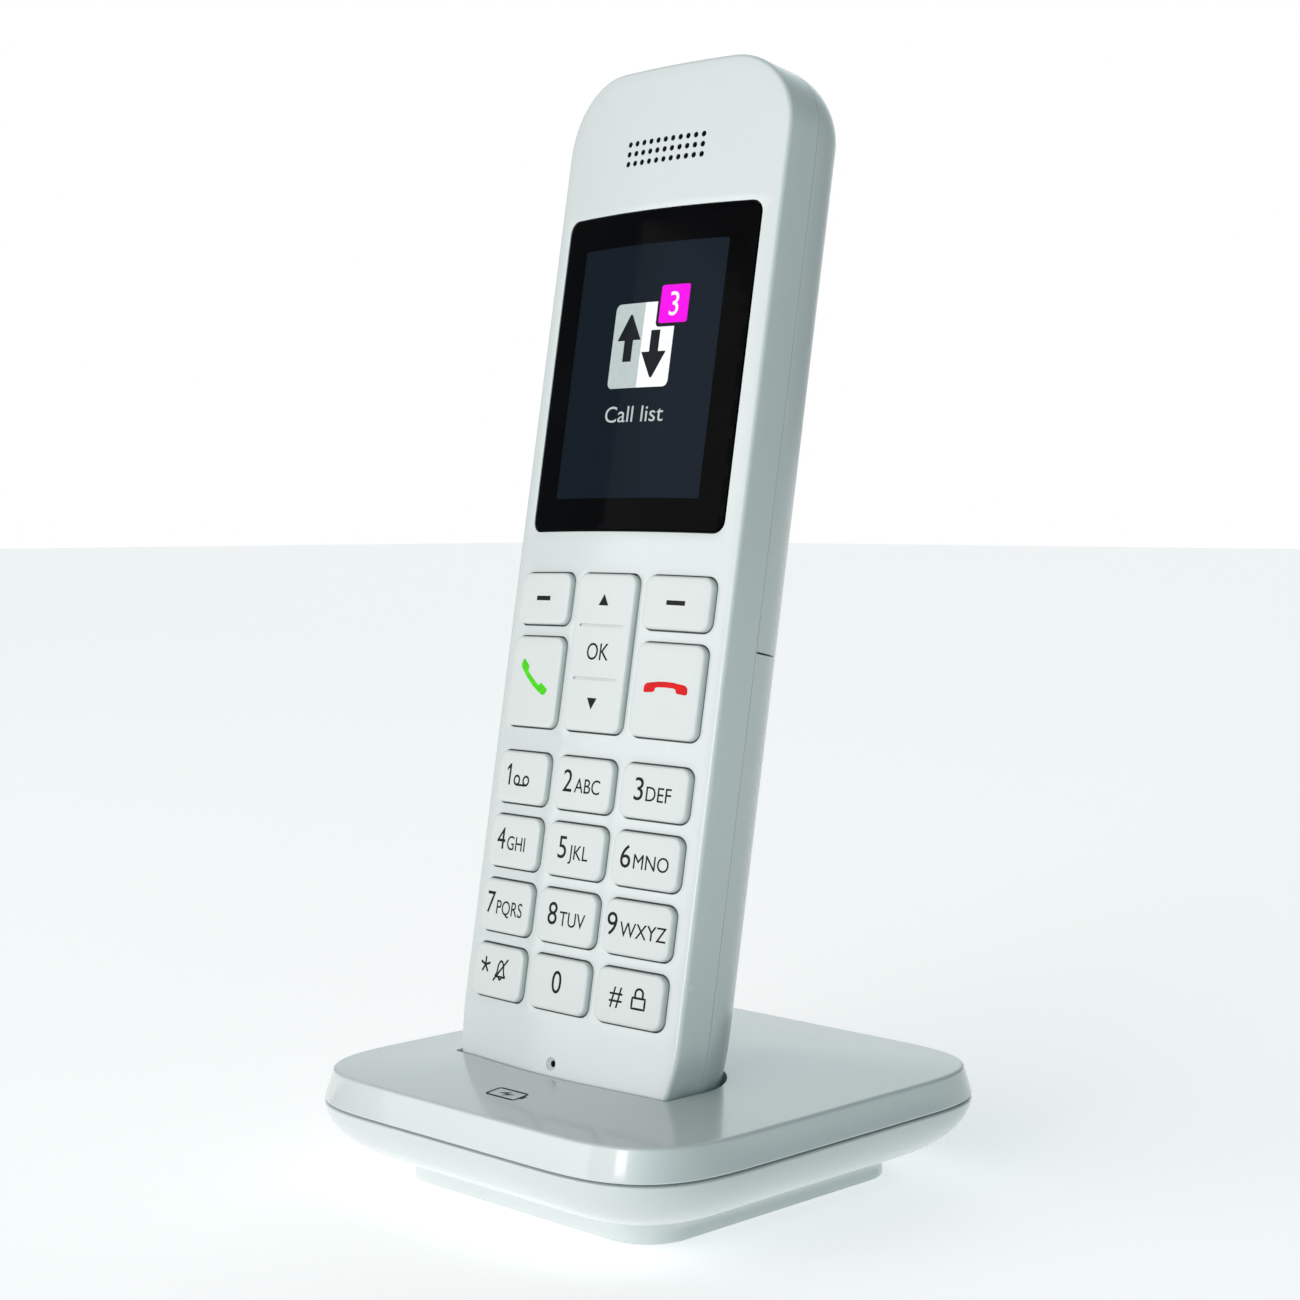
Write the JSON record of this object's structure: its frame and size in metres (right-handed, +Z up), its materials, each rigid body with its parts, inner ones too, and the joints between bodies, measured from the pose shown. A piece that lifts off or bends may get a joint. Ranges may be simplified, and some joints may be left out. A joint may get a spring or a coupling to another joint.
{
  "type": "cordless phone with charging cradle",
  "caption": "Cordless phone handset with keypad and colour display, standing in its charging cradle; the handset lifts out, the keys press and the battery cover slides.",
  "frame": {"origin": "middle of the cradle's footprint, on the surface that it stands on", "axes": "+Z up, the keypad and display face -Y, +X to the right of someone facing the keypad"},
  "size_m": [0.0806, 0.0838, 0.1759],
  "materials": {
    "white_shell": "satin",
    "white_key": "satin",
    "display_glass": "gloss",
    "dark_plastic": "matt",
    "circuit_board": "satin",
    "dome_film": "satin",
    "battery_sleeve": "gloss",
    "nickel": "polished",
    "steel": "satin",
    "gold": "polished",
    "rubber": "matt"
  },
  "bodies": {
    "cradle": {"cradle_top": "white_shell", "cradle_bottom": "white_shell", "cradle_weight": "steel", "cradle_board": "circuit_board", "power_inlet": "dark_plastic", "charge_pin_left": "gold", "charge_pin_right": "gold", "rubber_foot_front_left": "rubber", "rubber_foot_front_right": "rubber", "rubber_foot_back_left": "rubber", "rubber_foot_back_right": "rubber", "cradle_screw_front_left": "steel", "cradle_screw_front_right": "steel", "cradle_screw_back_left": "steel", "cradle_screw_back_right": "steel"},
    "handset": {"front_shell": "white_shell", "rear_shell": "white_shell", "display_window": "display_glass", "display_panel": "dark_plastic", "main_board": "circuit_board", "dome_sheet": "dome_film", "earpiece": "dark_plastic", "microphone": "dark_plastic", "battery_left": "battery_sleeve", "battery_right": "battery_sleeve", "battery_contact_left": "nickel", "battery_contact_right": "nickel", "battery_bridge": "nickel", "shield_can": "steel", "loudspeaker": "dark_plastic", "antenna": "gold", "handset_screw_left": "steel", "handset_screw_right": "steel", "charge_pad_left": "gold", "charge_pad_right": "gold"},
    "battery_cover": {"battery_cover": "white_shell"},
    "key_star": {"key_star": "white_key"},
    "key_0": {"key_0": "white_key"},
    "key_hash": {"key_hash": "white_key"},
    "key_7": {"key_7": "white_key"},
    "key_8": {"key_8": "white_key"},
    "key_9": {"key_9": "white_key"},
    "key_4": {"key_4": "white_key"},
    "key_5": {"key_5": "white_key"},
    "key_6": {"key_6": "white_key"},
    "key_1": {"key_1": "white_key"},
    "key_2": {"key_2": "white_key"},
    "key_3": {"key_3": "white_key"},
    "talk_key": {"talk_key": "white_key"},
    "end_key": {"end_key": "white_key"},
    "soft_key_left": {"soft_key_left": "white_key"},
    "soft_key_right": {"soft_key_right": "white_key"},
    "nav_plunger": {"nav_plunger": "dark_plastic"},
    "nav_key": {"nav_key": "white_key"}
  },
  "joints": [
    {"name": "handset_lift", "type": "slide", "parent": "cradle", "child": "handset", "axis": [0, 0.1736, 0.9848], "range_m": [0, 0.06]},
    {"name": "battery_cover_slide", "type": "slide", "parent": "handset", "child": "battery_cover", "axis": [0, -0.1736, -0.9848], "range_m": [0, 0.015]},
    {"name": "key_star_press", "type": "slide", "parent": "handset", "child": "key_star", "axis": [0, 0.9848, -0.1736], "range_m": [0, 0.0006], "stiffness_N_per_m": 400},
    {"name": "key_0_press", "type": "slide", "parent": "handset", "child": "key_0", "axis": [0, 0.9848, -0.1736], "range_m": [0, 0.0006], "stiffness_N_per_m": 400},
    {"name": "key_hash_press", "type": "slide", "parent": "handset", "child": "key_hash", "axis": [0, 0.9848, -0.1736], "range_m": [0, 0.0006], "stiffness_N_per_m": 400},
    {"name": "key_7_press", "type": "slide", "parent": "handset", "child": "key_7", "axis": [0, 0.9848, -0.1736], "range_m": [0, 0.0006], "stiffness_N_per_m": 400},
    {"name": "key_8_press", "type": "slide", "parent": "handset", "child": "key_8", "axis": [0, 0.9848, -0.1736], "range_m": [0, 0.0006], "stiffness_N_per_m": 400},
    {"name": "key_9_press", "type": "slide", "parent": "handset", "child": "key_9", "axis": [0, 0.9848, -0.1736], "range_m": [0, 0.0006], "stiffness_N_per_m": 400},
    {"name": "key_4_press", "type": "slide", "parent": "handset", "child": "key_4", "axis": [0, 0.9848, -0.1736], "range_m": [0, 0.0006], "stiffness_N_per_m": 400},
    {"name": "key_5_press", "type": "slide", "parent": "handset", "child": "key_5", "axis": [0, 0.9848, -0.1736], "range_m": [0, 0.0006], "stiffness_N_per_m": 400},
    {"name": "key_6_press", "type": "slide", "parent": "handset", "child": "key_6", "axis": [0, 0.9848, -0.1736], "range_m": [0, 0.0006], "stiffness_N_per_m": 400},
    {"name": "key_1_press", "type": "slide", "parent": "handset", "child": "key_1", "axis": [0, 0.9848, -0.1736], "range_m": [0, 0.0006], "stiffness_N_per_m": 400},
    {"name": "key_2_press", "type": "slide", "parent": "handset", "child": "key_2", "axis": [0, 0.9848, -0.1736], "range_m": [0, 0.0006], "stiffness_N_per_m": 400},
    {"name": "key_3_press", "type": "slide", "parent": "handset", "child": "key_3", "axis": [0, 0.9848, -0.1736], "range_m": [0, 0.0006], "stiffness_N_per_m": 400},
    {"name": "talk_key_press", "type": "slide", "parent": "handset", "child": "talk_key", "axis": [0, 0.9848, -0.1736], "range_m": [0, 0.0006], "stiffness_N_per_m": 400},
    {"name": "end_key_press", "type": "slide", "parent": "handset", "child": "end_key", "axis": [0, 0.9848, -0.1736], "range_m": [0, 0.0006], "stiffness_N_per_m": 400},
    {"name": "soft_key_left_press", "type": "slide", "parent": "handset", "child": "soft_key_left", "axis": [0, 0.9848, -0.1736], "range_m": [0, 0.0006], "stiffness_N_per_m": 400},
    {"name": "soft_key_right_press", "type": "slide", "parent": "handset", "child": "soft_key_right", "axis": [0, 0.9848, -0.1736], "range_m": [0, 0.0006], "stiffness_N_per_m": 400},
    {"name": "nav_press", "type": "slide", "parent": "handset", "child": "nav_plunger", "axis": [0, 0.9848, -0.1736], "range_m": [0, 0.0005], "stiffness_N_per_m": 400},
    {"name": "nav_tilt", "type": "hinge", "parent": "nav_plunger", "child": "nav_key", "pos_m": [0, -0.00659, 0.08319], "axis": [1, 0, 0], "range_deg": [-1.2, 1.2], "stiffness_Nm_per_rad": 0.02}
  ],
  "couplings": [
    {"joint": "battery_cover_slide", "follows": "handset_lift", "ratio": 0.25}
  ]
}
